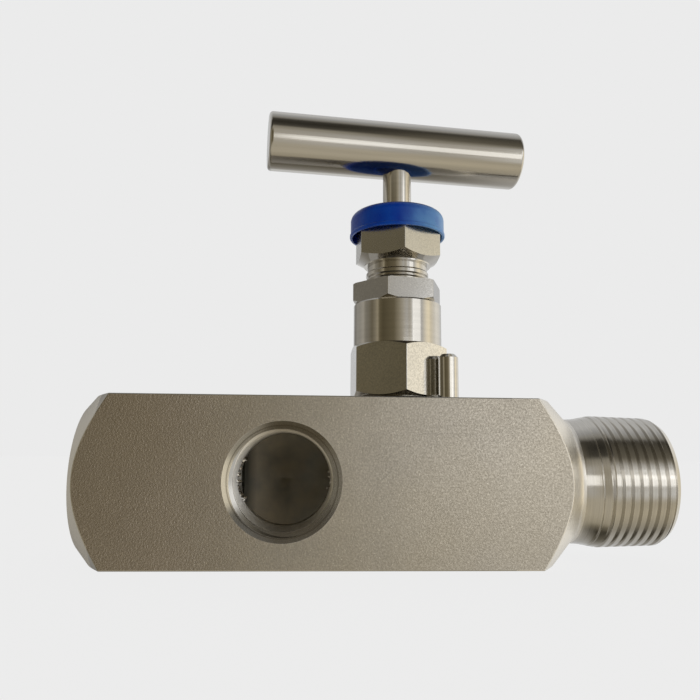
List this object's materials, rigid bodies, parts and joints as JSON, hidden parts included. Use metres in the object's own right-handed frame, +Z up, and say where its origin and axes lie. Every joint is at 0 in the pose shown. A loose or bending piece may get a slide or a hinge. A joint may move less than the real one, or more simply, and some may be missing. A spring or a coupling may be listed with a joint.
{
  "type": "needle valve",
  "caption": "Inline needle valve: square bar body with a tapered male inlet and tapered female outlets, screwed bonnet, adjustable packing, blue dust cap and T-bar.",
  "frame": {"origin": "on the body's flat bottom face, below the stem's axis", "axes": "+X along the body towards the male inlet, +Z up the stem, so the front outlet faces -Y"},
  "size_m": [0.1168, 0.032, 0.0946],
  "materials": {
    "blasted_steel": "bead-blasted stainless steel, satin",
    "machined_steel": "machined stainless steel, fine turning marks",
    "turned_steel": "lengthwise brushed stainless steel",
    "polished_steel": "bright polished stainless steel",
    "ring_steel": "plain stainless steel",
    "dark_screw": "dark oxide screw",
    "graphite": "pressed graphite packing",
    "blue_plastic": "soft blue moulded plastic, low gloss"
  },
  "bodies": {
    "valve_body": {"body": "blasted_steel", "bonnet": "machined_steel", "bonnet_gasket": "ring_steel", "lock_pin": "polished_steel", "lower_packing_washer": "ring_steel", "packing_ring_lower": "graphite", "packing_ring_middle": "graphite", "packing_ring_upper": "graphite", "upper_packing_washer": "ring_steel", "gland_adjuster": "machined_steel", "lock_nut": "machined_steel"},
    "tip": {"needle_tip": "polished_steel", "thrust_ball": "polished_steel"},
    "stem": {"spindle": "polished_steel", "t_bar": "turned_steel", "handle_screw": "dark_screw"},
    "cap": {"dust_cap": "blue_plastic"}
  },
  "joints": [
    {"name": "needle_lift", "type": "slide", "parent": "valve_body", "child": "tip", "axis": [0, 0, 1], "range_m": [-0.00151, 0.00351]},
    {"name": "spindle_turn", "type": "hinge", "parent": "tip", "child": "stem", "pos_m": [0, 0, 0.08829], "axis": [0, 0, 1], "range_deg": [-540, 1260]},
    {"name": "cap_lift", "type": "slide", "parent": "valve_body", "child": "cap", "axis": [0, 0, 1], "range_m": [0, 0.005]}
  ],
  "couplings": [
    {"joint": "needle_lift", "follows": "spindle_turn", "m_per_rad": 0.00015915}
  ]
}
